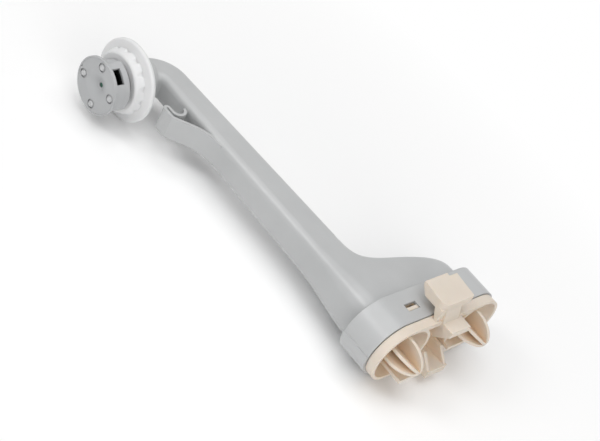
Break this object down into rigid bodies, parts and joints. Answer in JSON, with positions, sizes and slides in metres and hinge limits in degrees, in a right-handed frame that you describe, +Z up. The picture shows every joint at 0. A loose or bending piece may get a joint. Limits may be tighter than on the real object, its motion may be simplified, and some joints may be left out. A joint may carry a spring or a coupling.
{
  "type": "dishwasher wash arm feed tube",
  "caption": "Moulded feed tube that flares to a twin-port docking coupling with finned noses at one end and turns through an elbow to a nut-held spray hub at the other.",
  "frame": {"origin": "on the hub's axis, level with the collar lobe that is in line with the tube", "axes": "+X along the tube from the hub to the docking ports, +Y from the lower to the upper port, +Z up as the part lies; the hub faces -Y"},
  "size_m": [0.2919, 0.14, 0.0624],
  "materials": {
    "tube_grey": "light grey moulded plastic with a low sheen",
    "coupling_cream": "cream moulded plastic",
    "gasket_rubber": "black rubber",
    "flap_rubber": "dark grey rubber",
    "pin_steel": "plain stainless pin",
    "nut_white": "near-white moulded plastic",
    "hub_grey": "mid grey moulded plastic",
    "axle_green": "dark green plastic",
    "spacer_black": "black moulded plastic"
  },
  "bodies": {
    "tube": {"feed_tube": "tube_grey", "docking_coupling": "coupling_cream", "coupling_gasket": "gasket_rubber", "flap_pins": "pin_steel", "hub_axle": "axle_green", "axle_spacer": "spacer_black"},
    "nut": {"retaining_nut": "nut_white"},
    "hub": {"spray_hub": "hub_grey", "hub_disc": "hub_grey", "hub_studs": "hub_grey"},
    "lower_check": {"lower_flap": "flap_rubber"},
    "upper_check": {"upper_flap": "flap_rubber"}
  },
  "joints": [
    {"name": "nut_turn", "type": "hinge", "parent": "tube", "child": "nut", "pos_m": [0, -0.029, 0], "axis": [0, -1, 0], "range_deg": [0, 90]},
    {"name": "hub_spin", "type": "hinge", "parent": "tube", "child": "hub", "pos_m": [0, -0.042, 0], "axis": [0, -1, 0], "continuous": true},
    {"name": "lower_flap_swing", "type": "hinge", "parent": "tube", "child": "lower_check", "pos_m": [0.2307, 0.007, 0.0132], "axis": [0, 1, 0], "range_deg": [0, 50]},
    {"name": "upper_flap_swing", "type": "hinge", "parent": "tube", "child": "upper_check", "pos_m": [0.2307, 0.061, 0.0132], "axis": [0, 1, 0], "range_deg": [0, 50]}
  ]
}
